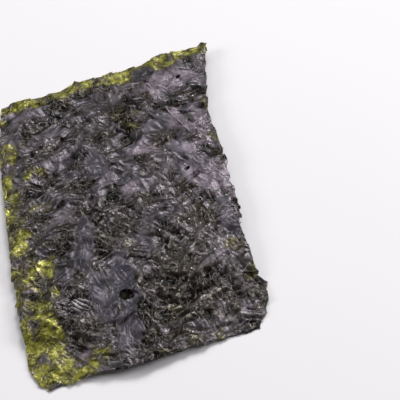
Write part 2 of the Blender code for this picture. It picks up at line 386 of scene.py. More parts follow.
@dataclass(frozen=True)
class Zones:
    """Where the laver is thin enough to look green, brightened by painted light shining through it, where it
    lies as smooth film, where it is matt and dark, where a pale violet sheen is painted on it, partly its
    own paler skin, and where a pit is sunk in it and painted dark as shade."""

    # Green zones: thin laver, its own green brightened by painted light shining through it.
    green: Patches = patches_mm(
        (-25, -12, 16, 4.4, 90, 620), (-22, -27, 13, 6.4, 96, 830), (-20.8, -39.4, 7.6, 4.4, 170, 760),
        (-26.5, 16, 24, 2.2, 90, 470), (-4, 42.8, 24, 2.4, 2, 1000), (21, 42.6, 8, 2.6, 8, 1200),
        (-24, 41, 6, 3, 30, 800), (27, 42, 4, 2.4, 0, 1000), (25.5, -26, 5, 2, 95, 480),
        (26, 16, 9, 1.4, 90, 320), (-20, 15.5, 3, 2, 0, 400), (-19.5, 4, 4, 2.4, 20, 420),
        (6.5, 25.5, 4, 2.4, 100, 200), (22.8, -19.5, 3.2, 1.4, 20, 400), (8, -41.8, 16, 1, 3, 260),
        (-20.2, -12.8, 0.9, 1.8, 0, 1200), (-25.4, -33.8, 1, 2.4, 0, 1100),
        (-18.9, -33.5, 2.2, 1.5, 20, 950), (-19.4, -41.6, 2.8, 1.1, 170, 1250),
        (-26.6, -20.5, 0.9, 2.4, 0, 1050), (-26.2, -5.5, 0.7, 3, 0, 850), (-22.3, -22.4, 1.8, 2, 60, 1000),
        (-26, 4, 0.7, 2, 0, 700), (-23.2, -28.6, 1.4, 1.8, 20, 1000),
    )
    green_reach: float = 1.60
    green_rim: float = 1.0
    green_stray_gain: float = 0.7
    gap_edge: Pair = (0.35, 0.3)
    gap_depth: float = 0.45
    stray: Noise = Noise(0.0030, 0.5, 311)
    green_stray: Noise = Noise(0.0062, 0.55, 313)
    green_gaps: Noise = Noise(0.0027, 1.0, 317)
    film: Patches = ()
    film_rim: float = 0.35
    film_edge: Pair = (0.18, 0.22)
    film_loose: float = 0.5
    film_stray: Noise = Noise(0.0030, 0.35, 421)
    film_patches: Noise = Noise(0.0058, 1.0, 431)
    dull: Patches = patches_mm(
        (5, 25.9, 4.4, 2.9, 100, 1250), (3.9, 29.8, 3.6, 1, 165, 900), (12.5, -28, 10, 7, 160, 900),
        (14.5, -36, 8, 3, 160, 800), (-8.5, 4, 2, 1, 60, 800), (-1, -8, 3.6, 2.2, 160, 900),
        (14, 26.5, 7.5, 1.4, 165, 800), (22, -7.5, 3, 1.5, 120, 700), (-13, -31, 3, 4, 90, 600),
        (-14.8, 22.3, 2.2, 2, 0, 800), (-20.4, 17.7, 2.2, 1.6, 0, 700), (8.7, 7, 2.4, 2, 20, 900),
        (15.6, -10.8, 2, 4.2, 10, 650), (0.5, -14.3, 2.6, 2.4, 90, 1000), (18.5, -31.5, 4.5, 2.2, 160, 900),
        (-10.9, -27.5, 2, 1.4, 0, 700), (6.8, -33.5, 3.4, 2.6, 20, 1250), (2.4, -37.4, 2.4, 2, 20, 1100),
        (6.5, -39, 3.4, 1.6, 10, 1000), (-3.2, -40.4, 2.6, 1.2, 10, 800), (15, -40.8, 3.4, 1, 10, 600),
    )
    dull_patches: Noise = Noise(0.0036, 1.0, 443)
    dull_rim: float = 0.4
    dull_edge: Pair = (0.33, 0.2)
    dull_loose: float = 0.9
    dull_film_shy: float = 0.8
    dull_pale_shy: float = 1.3
    soft_reach: float = 1.1
    pale_rim: float = 0.6
    # Painted sheen: pale violet patches where the laver's sheen shows bright, partly its own paler skin.
    pale: Patches = patches_mm(
        (20.8, 0.5, 4.5, 6.5, 20, 1000), (26, -3, 2.5, 5, 10, 1000), (7.2, 14.3, 4.2, 2.4, 160, 1000),
        (17.5, 19, 3, 6.5, 20, 800), (20, 33.5, 8, 3.6, 10, 800), (18, -23.2, 6, 1.4, 24, 800),
        (19, -32.5, 5.5, 1.6, 30, 600), (12, 35, 6, 2.6, 10, 700), (-0.5, 7.6, 2, 3.4, 10, 500),
        (23.5, 19, 2.4, 8, 10, 800), (-21, 35, 5, 3, 0, 400), (-11, 20, 4, 2, 20, 400),
        (12, 8, 3, 5, 20, 400), (24, 12, 2.5, 5, 10, 600), (-23.8, -17.2, 1.2, 0.8, 150, 700),
        (-17.5, -26.8, 1.1, 0.8, 30, 700), (-25.6, -10.2, 1.2, 0.7, 20, 600), (-14, -38, 3, 1.6, 60, 800),
        (-22, -37, 0.9, 1.6, 30, 800), (-24.8, -25.4, 1, 0.7, 40, 700), (-19.6, -21.5, 1.4, 0.6, 120, 700),
        (-19.8, 24.6, 2, 1.7, 0, 600), (21.8, 9.2, 3.8, 2.2, 0, 900), (3.1, 2.9, 2.2, 2, 20, 900),
        (-12.2, -0.5, 2, 3.8, 10, 600), (4.2, -21.2, 2, 2.2, 20, 500), (10.5, -12.4, 1.8, 1.8, 0, 500),
        (14.2, 30.2, 6.6, 1.2, 114, 900), (19, 19.1, 6.6, 1.5, 113, 1000), (8.5, 37.2, 3.2, 0.9, 170, 700),
        (23.4, 30.4, 3.2, 0.9, 163, 700), (-2.4, -33.5, 5, 3, 82, 170),
    )
    # Pits: sunk in the solid, and painted dark as shade through the dull and high shares.
    pits: Patches = patches_mm(
        (-2, -26.4, 2.10, 1.35, 172, 1000), (-6.4, 3.4, 0.75, 0.5, 60, 1000),
        (-4.2, -7.4, 0.8, 0.6, 100, 1000), (17.6, 3.7, 0.8, 0.4, 20, 1000), (-6.4, -34.6, 0.5, 0.4, 0, 1000),
        (-13.8, -12.5, 0.55, 0.35, 10, 1000), (9.4, -11.2, 0.6, 0.55, 0, 1000),
        (14.7, -16.8, 1.1, 0.7, 150, 1000), (-0.2, 4.8, 0.75, 0.45, 120, 1000),
        (20.5, 34.2, 0.6, 0.5, 0, 1000), (-19.6, 22.7, 1.2, 0.7, 100, 1000),
        (22.5, 30.5, 0.7, 0.4, 140, 1000),
    )
    pit_stray: Noise = Noise(0.0012, 0.22, 449)
    pit_rim: float = 0.22

    def strongest(self, patches: Patches, x: Array, y: Array, stray: Array, rim: float) -> Array:
        """The largest share, times its strength, of any patch that reaches the place."""
        found = np.zeros_like(x)
        for patch in patches:
            found = np.maximum(found, patch.rise * patch.share(x, y, stray, rim))
        return found

    def known_film(self, x: Array, y: Array) -> Array:
        """1 on the known films, 0 elsewhere."""
        return self.strongest(self.film, x, y, 1.0 + self.film_stray.wave(x, y), self.film_rim)

    def filminess(self, x: Array, y: Array) -> Array:
        """1 on smooth film, 0 on wrinkled felt: the known films, and smaller ones where a noise is high."""
        loose = self.film_loose * self.film_patches.mask(x, y, *self.film_edge)
        return np.maximum(self.known_film(x, y), loose) * (1 - self.dullness(x, y))

    def paleness(self, x: Array, y: Array) -> Array:
        """1 where a pale violet sheen is painted on the laver, partly its own paler skin, 0 elsewhere, with
        wide soft rims.
        """
        return self.strongest(self.pale, x, y, self.soft_reach + self.stray.wave(x, y), self.pale_rim)

    def dullness(self, x: Array, y: Array) -> Array:
        """1 on matt dark laver: the known patches, and smaller ones off the films where a noise is high."""
        known = self.strongest(self.dull, x, y, self.soft_reach + self.stray.wave(x, y), self.dull_rim)
        film = self.known_film(x, y)
        free = 1 - np.minimum(np.maximum(self.dull_pale_shy * self.paleness(x, y), film), 1)
        loose = self.dull_loose * self.dull_patches.mask(x, y, *self.dull_edge) * free
        return np.maximum(known * (1 - self.dull_film_shy * film), loose)

    def pitted(self, x: Array, y: Array) -> Array:
        """1 in a pit, 0 outside, with a steep rim."""
        stray = 1.0 + self.pit_stray.wave(x, y)
        return np.max([patch.share(x, y, stray, self.pit_rim) for patch in self.pits], axis=0)

    def greenness(self, x: Array, y: Array) -> Array:
        """How likely laver is to be thin here, from 0 to 1: the strongest zone that reaches the place."""
        stray = self.green_stray_gain * self.stray.wave(x, y) + self.green_stray.wave(x, y)
        found = self.strongest(self.green, x, y, self.green_reach + stray, self.green_rim)
        return found * (1 - self.gap_depth * self.green_gaps.mask(x, y, *self.gap_edge))


@dataclass
class Surface:
    """Points and triangles of one closed piece, and what its finish reads at each point."""

    points: Array
    triangles: Array
    values: dict[str, Array] = field(default_factory=dict)

    def to_object(self, name: str, material: Material, sharp: float = 60.0) -> bpy.types.Object:
        """Makes the mesh, with its object at the origin, and lets it ride on the sheet's body.

        Args:
            name: the piece's name.
            material: its finish.
            sharp: turns steeper than this, in degrees, shade as sharp.

        Returns:
            The new object.
        """
        mesh = bpy.data.meshes.new(name)
        mesh.vertices.add(len(self.points))
        mesh.vertices.foreach_set("co", self.points.astype(np.float32).ravel())
        mesh.loops.add(self.triangles.size)
        mesh.loops.foreach_set("vertex_index", self.triangles.astype(np.int32).ravel())
        mesh.polygons.add(len(self.triangles))
        mesh.polygons.foreach_set("loop_start", np.arange(0, self.triangles.size, 3, dtype=np.int32))
        mesh.update(calc_edges=True)
        for key, value in self.values.items():
            layer = mesh.attributes.new(key, "FLOAT", "POINT")
            layer.data.foreach_set("value", value.astype(np.float32).ravel())
        mesh.shade_smooth()
        mesh.set_sharp_from_angle(angle=math.radians(sharp))
        mesh.materials.append(material)
        piece = bpy.data.objects.new(name, mesh)
        bpy.context.scene.collection.objects.link(piece)
        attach(piece, BODY)
        LOG.info("%s: %d triangles", name, len(self.triangles))
        return piece


def grid_triangles(grid: Array) -> Array:
    """Two triangles for each cell of a grid of point numbers, with diagonals that alternate."""
    a, b, c, d = grid[:-1, :-1], grid[:-1, 1:], grid[1:, 1:], grid[1:, :-1]
    odd = (np.indices(a.shape).sum(axis=0) % 2 == 1)[..., None]
    first = np.where(odd, np.stack([a, b, d], -1), np.stack([a, b, c], -1))
    second = np.where(odd, np.stack([b, c, d], -1), np.stack([a, c, d], -1))
    return np.concatenate([first.reshape(-1, 3), second.reshape(-1, 3)])


def grid_rim(grid: Array) -> Array:
    """The point numbers round a grid, counterclockwise from its first corner."""
    return np.concatenate([grid[0, :-1], grid[:-1, -1], grid[-1, :0:-1], grid[:0:-1, 0]])


def leaf_triangles(rows: int, columns: int) -> Array:
    """Triangles of a closed leaf: an upper grid of rows by columns of cells, a lower grid of cells twice as
    wide after it, and sides whose triangles join each lower edge to two upper ones."""
    upper = np.arange((rows + 1) * (columns + 1)).reshape(rows + 1, -1)
    lower = np.arange((rows // 2 + 1) * (columns // 2 + 1)).reshape(rows // 2 + 1, -1) + upper.size
    ring, below = grid_rim(upper), grid_rim(lower)
    even, odd, next_even, next_below = ring[0::2], ring[1::2], np.roll(ring, -2)[0::2], np.roll(below, -1)
    side = [np.stack(corners, -1) for corners in (
        (even, below, odd), (odd, below, next_below), (odd, next_below, next_even),
    )]
    return np.concatenate([grid_triangles(upper), grid_triangles(lower)[:, ::-1], *side])


def disc_triangles(rings: int, spokes: int) -> Array:
    """Triangles of one closed disc: an upper centre and rings round it, then the rings below them, all but
    the outermost, which both faces share, and a lower centre."""
    here = np.arange(spokes)
    after = (here + 1) % spokes
    upper = [1 + ring * spokes for ring in range(rings)]
    lower = [1 + (rings + ring) * spokes for ring in range(rings - 1)] + upper[-1:]
    parts = []
    for tip, starts, way in ((0, upper, 1), (1 + (2 * rings - 1) * spokes, lower, -1)):
        parts.append(np.stack([np.full(spokes, tip), starts[0] + here, starts[0] + after], -1)[:, ::way])
        for inner, outer in zip(starts, starts[1:]):
            parts.append(np.stack([inner + here, outer + here, outer + after], -1)[:, ::way])
            parts.append(np.stack([inner + here, outer + after, inner + after], -1)[:, ::way])
    return np.concatenate(parts)


def tube_triangles(steps: int, sides: int) -> Array:
    """Triangles of one closed tube: rings of points along it, then its first and its last tip."""
    here = np.arange(sides)
    after = (here + 1) % sides
    first_tip, last_tip = steps * sides, steps * sides + 1
    parts = [np.stack([np.full(sides, first_tip), after, here], -1)]
    for step in range(steps - 1):
        near, far = step * sides, (step + 1) * sides
        parts.append(np.stack([near + here, near + after, far + after], -1))
        parts.append(np.stack([near + here, far + after, far + here], -1))
    end = (steps - 1) * sides
    parts.append(np.stack([end + here, end + after, np.full(sides, last_tip)], -1))
    return np.concatenate(parts)


def repeated(triangles: Array, count: int, points_each: int) -> Array:
    """The same triangles for each of several bodies whose points follow one another."""
    starts = np.arange(count)[:, None, None] * points_each
    return (triangles[None] + starts).reshape(-1, 3)


def disc_order(over: Array, under: Array) -> Array:
    """Values at each disc's centre and rings, for both faces, in the order that disc_triangles asks for.

    Args:
        over: values of the upper face, by disc, ring and spoke. Ring 0 is the centre.
        under: values of the lower face.

    Returns:
        Values by disc and point.
    """
    flat = (len(over), -1, *over.shape[3:])
    return np.concatenate(
        [over[:, :1, 0], over[:, 1:].reshape(flat), under[:, 1:-1].reshape(flat), under[:, :1, 0]], axis=1
    )


class Face(Enum):
    """The two faces of the sheet: the way up from each."""

    UPPER = 1.0
    LOWER = -1.0


@dataclass
class Ground:
    """What the sheet's loose parts lie on: its form, its wrinkles and its thin places, in one place."""

    form: SheetForm = field(default_factory=SheetForm)
    crinkle: Crinkle = field(default_factory=Crinkle)
    zones: Zones = field(default_factory=Zones)
    overhang: float = 0.26
    film_calm: float = 0.72
    thin_gain: float = 1.6
    thin_soft: float = 0.9
    thin_base: float = 0.29
    thin_pale_shy: float = 0.75
    middle_fleck: float = 0.5
    fleck_gains: Pair = (0.40, 0.12)
    dull_gain: float = 0.3
    thin_calm: float = 0.35
    full_height: float = 0.00060
    pit_depth: float = 0.0006
    lip_height: float = 0.00012
    thin_flecks: Noise = Noise(0.0023, 1.0, 401)
    fine_flecks: Noise = Noise(0.0007, 1.0, 409)

    def __post_init__(self) -> None:
        """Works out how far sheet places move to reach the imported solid's frame."""
        low, high = (np.array(corner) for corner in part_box(CAD_NODE))
        self.shift = (low + high)[:2] / 2 - self.form.centre()

    def cut(self, x: Array, y: Array) -> tuple[Array, Array]:
        """Sheet places of points laid out on the nominal rectangle. Beyond the cut edge only a small share
        of the reach is left, so that what crosses it ends in a ragged line."""
        shares = (x / (self.form.width / 2), y / (self.form.length / 2))
        return self.form.plan(*(
            np.where(np.abs(w) > 1, np.sign(w) * (1 + self.overhang * (np.abs(w) - 1)), w) for w in shares
        ))

    def height(self, x: Array, y: Array, face: Face, follow: float) -> Array:
        """Height of one face with a share of its wrinkles."""
        if face is Face.LOWER:
            return self.form.lower(x, y) + follow * self.wrinkles(x, y) * (1 - self.form.resting(x, y))
        sunk = self.pit_depth * self.zones.pitted(x, y) - self.lip_height * self.lips(x, y)
        return np.maximum(self.form.upper(x, y) + follow * self.wrinkles(x, y) - sunk, self.form.lower(x, y))

    def thinness(self, x: Array, y: Array) -> Array:
        """How thin the laver is, from 0 to 1: its zones, broken up by flecks of two sizes."""
        broad, fine = self.fleck_gains
        flecks = broad * self.thin_flecks.value(x, y) + fine * self.fine_flecks.value(x, y)
        thin = self.thin_gain * self.zones.greenness(x, y) - self.middle_fleck - flecks
        thin = thin / self.thin_soft + self.thin_base
        return smooth_step(thin) * (1 - self.thin_pale_shy * self.zones.paleness(x, y))

    def lips(self, x: Array, y: Array) -> Array:
        """1 on the raised lip round a pit, 0 elsewhere."""
        pit = self.zones.pitted(x, y)
        return 4 * pit * (1 - pit)

    def wrinkles(self, x: Array, y: Array) -> Array:
        """The wrinkles' height: calmer on film, and stronger where the laver is dull."""
        gain = 1 - self.film_calm * self.zones.filminess(x, y) + self.dull_gain * self.zones.dullness(x, y)
        gain = gain * (1 - self.thin_calm * self.zones.greenness(x, y))
        return self.crinkle.height(x, y) * gain

    def looks(self, x: Array, y: Array, above: Array | float = 0.0) -> dict[str, Array]:
        """What a finish reads that depends on the place alone.

        Args:
            x: sheet places across.
            y: sheet places along.
            above: height over the wrinkled felt, in metres.

        Returns:
            How high the place stands in its wrinkle, how dull it is, and how pale it is, each from 0 to 1. A
            pit reads as low and dull, which paints it dark as shade; the paleness is painted sheen, partly
            paler skin.
        """
        # Painted shade: a pit reads as low and dull, and its raised lip reads as high, for the painted
        # highlight on crests.
        pit = self.zones.pitted(x, y)
        high = np.clip(0.5 + (self.wrinkles(x, y) + above) / self.full_height, 0, 1) * (1 - pit)
        pale = self.zones.paleness(x, y) * (1 - pit)
        high = np.maximum(high, self.lips(x, y) * (pit < 0.5))
        return {"high": high, "dull": np.maximum(self.zones.dullness(x, y), pit), "pale": pale}

    def world(self, x: Array, y: Array, z: Array) -> Array:
        """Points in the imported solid's frame, none of them below the table."""
        return np.stack([x + self.shift[0], y + self.shift[1], np.maximum(z, 0.0)], axis=-1)


def drifting_turns(random: Random, x: Array, y: Array, seed: int, stray: float) -> Array:
    """Turns from +X, in radians, that drift smoothly over the sheet, each with its own small stray."""
    return DRIFT_TURN * Noise(DRIFT_CELL, 1.0, seed).value(x, y) + random.normal(0.0, stray, len(x))


def likely_places(
    form: SheetForm,
    random: Random,
    count: int,
    tries_each: int,
    likely: Callable[[Array, Array], Array],
) -> tuple[Array, Array]:
    """The likeliest of several times as many random places on the sheet.

    Args:
        form: the sheet's form.
        random: where the places are drawn from.
        count: how many places are kept.
        tries_each: how many are tried for each one kept.
        likely: how likely each place is to be kept. A random share up to 1 is added to it.

    Returns:
        The places kept, on the nominal rectangle.
    """
    u, v = random.uniform(-INNER_SHARE, INNER_SHARE, (2, tries_each * count))
    x, y = u * form.width / 2, v * form.length / 2
    keep = np.argsort(-likely(x, y) - random.random(len(x)), kind="stable")[:count]
    return x[keep], y[keep]


@dataclass
class Felt:
    """The felt of chopped laver: one closed leaf with wrinkles on both faces."""

    ground: Ground
    columns: int = 220
    rows: int = 348
    lower_follow: float = 0.7
    least: float = 0.00010
    tones: Noise = Noise(0.0030, 1.0, 419)

    def face(self, side: Face) -> tuple[Array, dict[str, Array]]:
        """One face over a grid of (u, v), the lower one with cells twice as wide.

        Args:
            side: which face.

        Returns:
            Its points, and what its finish reads at each.
        """
        step = 1 if side is Face.UPPER else 2
        u, v = np.meshgrid(
            np.linspace(-1, 1, self.columns // step + 1), np.linspace(-1, 1, self.rows // step + 1)
        )
        x, y = self.ground.form.plan(u, v)
        height = np.maximum(self.ground.height(x, y, Face.LOWER, self.lower_follow), 0.0)
        if side is Face.UPPER:
            height = np.maximum(self.ground.height(x, y, Face.UPPER, 1.0), height + self.least)
        values = self.ground.looks(x, y) | {
            "thin": self.ground.thinness(x, y),
            "film": self.ground.zones.filminess(x, y),
            "tone": 0.5 + 0.5 * self.tones.value(x, y),
            "rim": np.zeros_like(x),
        }
        points = self.ground.world(x, y, height).reshape(-1, 3)
        return points, {key: value.ravel() for key, value in values.items()}

    def build(self, material: Material) -> bpy.types.Object:
        """Both faces, joined round the cut edge."""
        (upper, looks), (lower, looks_below) = self.face(Face.UPPER), self.face(Face.LOWER)
        values = {key: np.concatenate([looks[key], looks_below[key]]) for key in looks}
        surface = Surface(np.concatenate([upper, lower]), leaf_triangles(self.rows, self.columns), values)
        return surface.to_object("laver_felt", material)


@dataclass(kw_only=True)
class Blades:
    """Blades of laver: thin closed discs with an uneven outline, bent and tilted on the felt.

    In each blade's own axes, s along it and t across it, a ring of radius r has s = r f(angle) a cos(angle)
    and t = r f(angle) b sin(angle) + bend s^2 / a, where f is 1 plus a few waves.
    """

    name: str
    ground: Ground
    seed: int
    rings: int
    spokes: int
    lift: Pair
    tilt: float
    face: Face = Face.UPPER
    film: Pair = (0.2, 0.8)
    raggedness: float = 0.16
    waves: int = 5
    outline_limits: Pair = (0.35, 1.6)
    ring_power: float = 0.85
    bend: float = 0.25
    follow: float = 0.5
    dome: float = 0.00005
    edge_lift: float = 0.35
    sink: float = 0.00016
    sink_start: float = 0.8
    thickness: float = 0.00006
    lip: float = 0.00010
    lip_start: float = 0.7
    streak: float = 0.00006
    streak_cell: float = 0.00055
    streak_stretch: float = 3.0
    streak_shifts: Pair = (0, 40)
    swell_cells: float = 4.0
    swell_stretch: float = 1.5
    swell_share: float = 1.5
    film_calm: float = 0.4
    rest_calm: float = 0.6
    own_film: float = 0.45
    least_thin: float = 0.4
    thin_gain: float = 1.0
    stand: float = 0.0
    pit_lining: float = 0.00003
    pit_share: float = 0.3
    rim_power: int = 8

    def outline(self, random: Random, angle: Array, count: int) -> Array:
        """f(angle) of each blade."""
        order = np.arange(2, 2 + self.waves)
        size = random.normal(0.0, self.raggedness, (count, self.waves)) / np.sqrt(order - 1)
        phase = random.uniform(0, 2 * math.pi, (count, self.waves))
        waves = np.einsum("nk,nks->ns", size, np.cos(order[:, None] * angle + phase[..., None]))
        return np.clip(1 + waves, *self.outline_limits)

    def lay(
        self,
        random: Random,
        x: Array,
        y: Array,
        turn: Array,
        half_length: Array,
        half_width: Array,
        film: Array | None = None,
        thin: Array | None = None,
    ) -> Surface:
        """Blades of given places and sizes, with the rest of each one's shape drawn at random.

        Args:
            random: where the rest is drawn from.
            x: centres on the nominal rectangle.
            y: centres on the nominal rectangle.
            turn: turn of each blade's length from +X, in radians.
            half_length: half of each blade's length.
            half_width: half of each blade's width.
            film: how smooth each blade is, from 0 to 1, or None to draw it.
            thin: how thin each blade is, from 0 to 1, or None to draw it.

        Returns:
            The blades as one surface.
        """
        count, ground, zones = len(x), self.ground, self.ground.zones
        lift = for_each(random.uniform(*self.lift, count))
        tilt = np.tan(np.radians(random.normal(0.0, self.tilt, (2, count))))[..., None, None]
        bend = for_each(random.normal(0.0, self.bend, count))
        film = for_each(random.uniform(*self.film, count) if film is None else film)
        angle = np.linspace(0, 2 * math.pi, self.spokes, endpoint=False)
        outline = self.outline(random, angle, count)
        radius = (np.arange(self.rings + 1)[:, None] / self.rings) ** self.ring_power
        reach = radius * outline[:, None, :]
        a, b = for_each(half_length), for_each(half_width)
        s = reach * a * np.cos(angle)
        t = reach * b * np.sin(angle) + bend * s**2 / a
        place = ground.cut(*turned(for_each(x), for_each(y), for_each(turn), s, t))

        shift = random.uniform(*self.streak_shifts, (2, count))[..., None, None] * self.streak_cell
        ripple = Noise(self.streak_cell, 1.0, self.seed + 1, level=True)
        ripple = ripple.fold(s / self.streak_stretch + shift[0], t + shift[1])
        swell = Noise(self.swell_cells * self.streak_cell, 1.0, self.seed + 2, level=True)
        swell = swell.value(s / self.swell_stretch + shift[1], t + shift[0])
        calm = 1 - self.film_calm * film
        rise = lift * (self.edge_lift + (1 - self.edge_lift) * (1 - radius**4)) + self.dome * (1 - reach**2)
        rise = rise + s * tilt[0] + t * tilt[1] + calm * self.streak * (ripple + self.swell_share * swell)
        lip = np.clip(np.sin(angle * 2 + for_each(random.uniform(0, 2 * math.pi, count))), 0, 1)
        lip = lip * smooth_step((radius - self.lip_start) / (1 - self.lip_start))
        edge = smooth_step((radius - self.sink_start) / (1 - self.sink_start)) * (1 - lip)
        rise = rise + self.lip * lip - self.sink * edge
        resting = ground.form.resting(*place)
        if self.face is Face.UPPER:
            rise = rise * (1 - self.rest_calm * resting)
        else:
            rise = rise * (1 - resting) - self.thickness * resting

        top = ground.world(*place, ground.height(*place, self.face, self.follow) + self.face.value * rise)
        lining = ground.form.lower(*place) + self.pit_lining
        top[..., 2] = np.where(zones.pitted(*place) > self.pit_share, lining, top[..., 2])
        below = top.copy()
        below[..., 2] = np.maximum(top[..., 2] - self.face.value * self.thickness * (1 - radius**2), 0.0)
        thin = for_each(random.random(count) if thin is None else thin)
        thin = np.minimum(ground.thinness(*place) * (self.least_thin + self.thin_gain * thin), 1.0)
        looks = ground.looks(*place, calm * self.streak * ripple + self.stand) | {
            "film": self.own_film * film + (1 - self.own_film) * zones.filminess(*place),
            "thin": thin,
            "tone": np.broadcast_to(for_each(random.random(count)), s.shape),
            # Painted highlight: the rim share paints each blade's edge pale.
            "rim": np.broadcast_to(radius**self.rim_power, s.shape),
        }
        points = disc_order(top, below)
        triangles = disc_triangles(self.rings, self.spokes)[:, :: int(self.face.value)]
        return Surface(
            points.reshape(-1, 3),
            repeated(triangles, count, points.shape[1]),
            {key: disc_order(value, value).ravel() for key, value in looks.items()},
        )


class Spread(Enum):
    """Where the blades of a layer lie: all over, mostly on dull laver, or along the cut edge."""

    EVEN = "even"
    DULL = "dull"
    EDGE = "edge"


@dataclass(kw_only=True)
class BladeLayer(Blades):
    """Blades of one size, spread over the sheet at random."""

    count: int
    half_length: Pair
    slenderness: Pair
    spread: Spread = Spread.EVEN
    size_power: float = 1.6
    turn_stray: float = 0.5
    tries_each: int = 4
    film_shy: float = 0.6
    edge_depth: Pair = (0.02, 0.012)

    def likely(self, x: Array, y: Array) -> Array:
        """How likely a place on dull laver is to be taken."""
        return self.ground.zones.dullness(x, y) - self.film_shy * self.ground.zones.filminess(x, y)

    def places(self, random: Random) -> tuple[Array, Array]:
        """Centres on the nominal rectangle: one to a cell of a jittered grid, or where the spread asks."""
        width, length = self.ground.form.width, self.ground.form.length
        aspect = width / length
        columns = max(1, round(math.sqrt(self.count * aspect)))
        rows = math.ceil(self.count / columns)
        cells = random.permutation(columns * rows)[: self.count]
        u = 2 * ((cells % columns) + random.random(self.count)) / columns - 1
        v = 2 * ((cells // columns) + random.random(self.count)) / rows - 1
        if self.spread is Spread.DULL:
            return likely_places(self.ground.form, random, self.count, self.tries_each, self.likely)
        if self.spread is Spread.EDGE:
            on_end = random.random(self.count) < aspect / (1 + aspect)
            u = np.where(on_end, u, np.sign(u) * (1 - self.edge_depth[0] * random.random(self.count)))
            v = np.where(on_end, np.sign(v) * (1 - self.edge_depth[1] * random.random(self.count)), v)
        return u * width / 2, v * length / 2

    def build(self, material: Material) -> bpy.types.Object:
        """All blades of the layer as one mesh."""
        random = np.random.default_rng(self.seed)
        x, y = self.places(random)
        turn = drifting_turns(random, x, y, self.seed, self.turn_stray)
        size = random.random(self.count) ** self.size_power
        half_length = self.half_length[0] + np.diff(self.half_length) * size
        half_width = half_length * random.uniform(*self.slenderness, self.count)
        return self.lay(random, x, y, turn, half_length, half_width).to_object(self.name, material)


@dataclass(kw_only=True)
class PlacedBlades(Blades):
    """Blades at known places: rows of x, y, half length and half width in mm, turn in degrees, how smooth,
    how thin."""

    rows: Rows

    def build(self, material: Material) -> bpy.types.Object:
        """The rows as blades."""
        x, y, half_length, half_width, turn, film, thin = np.array(self.rows).T
        sizes = (half_length * MM, half_width * MM)
        surface = self.lay(
            np.random.default_rng(self.seed), x * MM, y * MM, np.radians(turn), *sizes, film, thin
        )
        return surface.to_object(self.name, material)


@dataclass
class Veins:
    """Rolled edges and threads of laver: short bent tubes that stand a little out of the felt, painted pale
    along them as a highlight.
    """

    ground: Ground
    count: int = 1000
    seed: int = 521
    length: Pair = (0.0007, 0.0036)
    radius: Pair = (0.00005, 0.00011)
    bend: float = 0.45
    wave: float = 0.06
    wave_turn: float = 9.0
    wave_phases: Pair = (0, 6)
    least_run: float = 1e-9
    steps: int = 6
    sides: int = 4
    follow: float = 0.8
    embed: float = 0.4
    arch: float = 0.00010
    tip_square: float = 1.02
    size_power: float = 1.8
    turn_seed: int = 31
    turn_stray: float = 0.6
    tries_each: int = 3
    thin_gain: float = 1.3
    thin_soft: float = 0.3
    least_rim: float = 0.35
    film: float = 0.5
    high: float = 0.65
    clusters: Noise = Noise(0.0085, 1.0, 523)

    def likely(self, x: Array, y: Array) -> Array:
        """How likely a place is to have a thread: in clusters, on dull laver and not on film."""
        zones = self.ground.zones
        return self.clusters.value(x, y) + zones.dullness(x, y) - zones.filminess(x, y)

    def build(self, material: Material) -> bpy.types.Object:
        """Each tube's axis is s along it and bend s^2 plus a small wave across it. Its radius tapers to both
        ends."""
        random = np.random.default_rng(self.seed)
        count = self.count
        x, y = likely_places(self.ground.form, random, count, self.tries_each, self.likely)
        turn = drifting_turns(random, x, y, self.turn_seed, self.turn_stray)[:, None]
        length = (self.length[0] + np.diff(self.length) * random.random(count) ** self.size_power)[:, None]
        along = np.linspace(-0.5, 0.5, self.steps)
        bow = 4 * along**2
        bend = random.normal(0.0, self.bend, count)[:, None]
        wave = np.sin(along * self.wave_turn + random.uniform(*self.wave_phases, count)[:, None])
        across = bend * length * bow / 2 + self.wave * length * wave
        place = self.ground.cut(*turned(x[:, None], y[:, None], turn, length * along, across))
        width = random.uniform(*self.radius, count)[:, None] * (self.tip_square - bow) ** 0.5
        height = self.ground.height(*place, Face.UPPER, self.follow) + self.embed * width
        height = height + random.uniform(0, self.arch, count)[:, None] * (1 - bow)
        step_x, step_y = (np.gradient(values, axis=1) for values in place)
        run = np.maximum(np.hypot(step_x, step_y), self.least_run)
        angle = np.linspace(0, 2 * math.pi, self.sides, endpoint=False)
        side = width[..., None] * np.cos(angle)
        rings = self.ground.world(
            place[0][..., None] - (step_y / run)[..., None] * side,
            place[1][..., None] + (step_x / run)[..., None] * side,
            height[..., None] + width[..., None] * np.sin(angle),
        ).reshape(count, -1, 3)
        points = np.concatenate([rings, self.ground.world(*place, height)[:, [0, -1]]], axis=1)
        thin = self.thin_gain * self.ground.zones.greenness(x, y) - random.random(count)
        values = {
            "thin": smooth_step(thin / self.thin_soft + 0.5),
            "film": np.full(count, self.film),
            "tone": random.random(count),
            # Painted highlight: a pale rim share on every thread.
            "rim": self.least_rim + (1 - self.least_rim) * random.random(count),
            "high": np.full(count, self.high),
            "dull": np.zeros(count),
            "pale": np.zeros(count),
        }
        surface = Surface(
            points.reshape(-1, 3),
            repeated(tube_triangles(self.steps, self.sides), count, points.shape[1]),
            {key: np.repeat(value, points.shape[1]) for key, value in values.items()},
        )
        return surface.to_object("rolled_threads", material, sharp=180.0)


